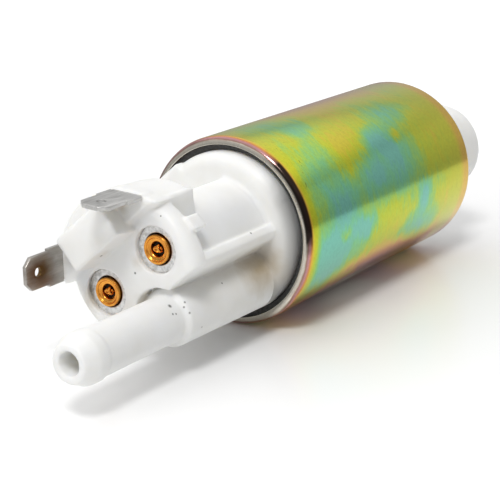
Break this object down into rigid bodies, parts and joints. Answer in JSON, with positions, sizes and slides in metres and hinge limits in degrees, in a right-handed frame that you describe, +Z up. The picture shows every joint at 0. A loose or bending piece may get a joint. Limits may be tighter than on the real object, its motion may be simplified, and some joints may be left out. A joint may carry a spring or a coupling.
{
  "type": "fuel pump",
  "caption": "In-tank electric fuel pump: rolled steel can, white outlet cap with tube nipple, two blade terminals and brush wells, offset inlet stub.",
  "frame": {"origin": "on the pump's axis, half way along the can", "axes": "+Y along the pump's axis from the outlet end to the inlet end, +Z up as the pump lies on its can, +X to the right seen from the outlet end"},
  "size_m": [0.038, 0.1413, 0.038],
  "materials": {
    "can_steel": "satin",
    "cap_white": "satin",
    "seal_rubber": "matte",
    "tin_plate": "satin",
    "plug_copper": "polished",
    "brush_carbon": "matte",
    "spring_steel": "satin",
    "shunt_copper": "satin",
    "valve_brass": "satin",
    "poppet_plastic": "satin",
    "bearing_bronze": "matte",
    "shaft_steel": "polished",
    "commutator_copper": "satin",
    "core_steel": "satin",
    "winding_copper": "satin",
    "magnet_ferrite": "matte",
    "plate_aluminium": "satin",
    "impeller_resin": "satin"
  },
  "bodies": {
    "housing": {"can": "can_steel", "outlet_cap": "cap_white", "outlet_seal": "seal_rubber", "terminal_upper": "tin_plate", "terminal_lower": "tin_plate", "plug_upper": "plug_copper", "plug_lower": "plug_copper", "spring_upper": "spring_steel", "spring_lower": "spring_steel", "shunt_upper": "shunt_copper", "shunt_lower": "shunt_copper", "valve_seat": "valve_brass", "valve_spring": "spring_steel", "front_bearing": "bearing_bronze", "magnet_upper": "magnet_ferrite", "magnet_lower": "magnet_ferrite", "clip_left": "spring_steel", "clip_right": "spring_steel", "pump_plate": "plate_aluminium", "rear_bearing": "bearing_bronze", "inlet_cover": "cap_white", "inlet_seal": "seal_rubber"},
    "rotor": {"shaft": "shaft_steel", "commutator": "commutator_copper", "armature_core": "core_steel", "windings": "winding_copper", "impeller": "impeller_resin"},
    "brush_upper_body": {"brush_upper": "brush_carbon"},
    "brush_lower_body": {"brush_lower": "brush_carbon"},
    "valve_body": {"valve_poppet": "poppet_plastic"}
  },
  "joints": [
    {"name": "rotor_spin", "type": "hinge", "parent": "housing", "child": "rotor", "pos_m": [0, 0, 0], "axis": [0, 1, 0], "continuous": true},
    {"name": "brush_upper_slide", "type": "slide", "parent": "housing", "child": "brush_upper_body", "axis": [0, -1, 0], "range_m": [0, 0.003], "stiffness_N_per_m": 150, "springref_m": -0.004, "deforming": ["spring_upper", "shunt_upper"]},
    {"name": "brush_lower_slide", "type": "slide", "parent": "housing", "child": "brush_lower_body", "axis": [0, -1, 0], "range_m": [0, 0.003], "stiffness_N_per_m": 150, "springref_m": -0.004, "deforming": ["spring_lower", "shunt_lower"]},
    {"name": "check_valve_lift", "type": "slide", "parent": "housing", "child": "valve_body", "axis": [0, -1, 0], "range_m": [0, 0.002], "stiffness_N_per_m": 200, "springref_m": -0.003, "deforming": ["valve_spring"]}
  ]
}
